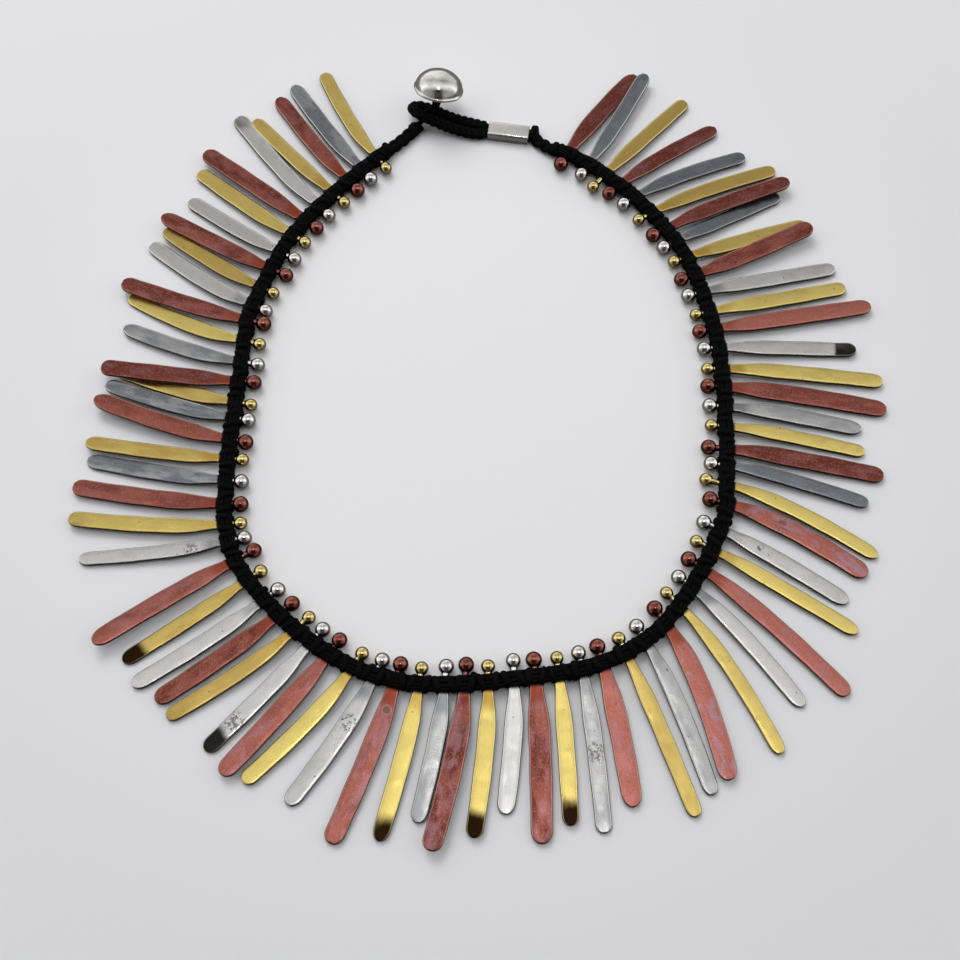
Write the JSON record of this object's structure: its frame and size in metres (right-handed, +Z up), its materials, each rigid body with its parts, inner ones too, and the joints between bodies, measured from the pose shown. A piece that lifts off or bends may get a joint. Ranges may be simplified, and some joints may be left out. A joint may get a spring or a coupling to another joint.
{
  "type": "bib necklace",
  "caption": "Knotted black cord necklace with a fringe of ball-headed flattened sticks in brass, silver and copper, closed by a loop over a domed button.",
  "frame": {"origin": "middle of the footprint, on the surface that the necklace lies on", "axes": "+Z up from that surface, the clasp towards +Y and the front of the fringe towards -Y, the button on the -X side of the cuff"},
  "size_m": [0.205, 0.2148, 0.0147],
  "materials": {
    "cord": "knotted waxed black cord",
    "brass": "hammered brass, satin, browned in places",
    "silver": "hammered white metal, satin, smudged grey in places",
    "copper": "hammered copper, satin, oxidised red to brown",
    "polished_silver": "polished silver"
  },
  "bodies": {
    "root": {"braid_left": "cord", "braid_right": "cord", "brass_stick_13": "brass", "silver_stick_14": "silver", "copper_stick_15": "copper", "brass_stick_16": "brass", "silver_stick_17": "silver", "copper_stick_18": "copper", "brass_stick_19": "brass", "silver_stick_20": "silver", "copper_stick_21": "copper", "brass_stick_22": "brass", "silver_stick_23": "silver", "copper_stick_24": "copper", "brass_stick_25": "brass", "silver_stick_26": "silver", "copper_stick_27": "copper", "brass_stick_28": "brass", "silver_stick_29": "silver", "copper_stick_30": "copper", "brass_stick_31": "brass", "silver_stick_32": "silver", "copper_stick_33": "copper", "brass_stick_34": "brass", "silver_stick_35": "silver", "copper_stick_36": "copper", "brass_stick_37": "brass", "silver_stick_38": "silver", "copper_stick_39": "copper", "brass_stick_40": "brass", "silver_stick_41": "silver", "copper_stick_42": "copper", "brass_stick_43": "brass", "silver_stick_44": "silver", "copper_stick_45": "copper", "brass_stick_46": "brass", "silver_stick_47": "silver", "copper_stick_48": "copper", "brass_stick_49": "brass", "silver_stick_50": "silver", "copper_stick_51": "copper", "brass_stick_52": "brass", "silver_stick_53": "silver", "copper_stick_54": "copper", "brass_stick_55": "brass", "silver_stick_56": "silver", "copper_stick_57": "copper", "brass_stick_58": "brass", "silver_stick_59": "silver", "copper_stick_60": "copper", "button": "polished_silver", "closing_loop": "cord", "cuff": "polished_silver"}
  },
  "joints": []
}
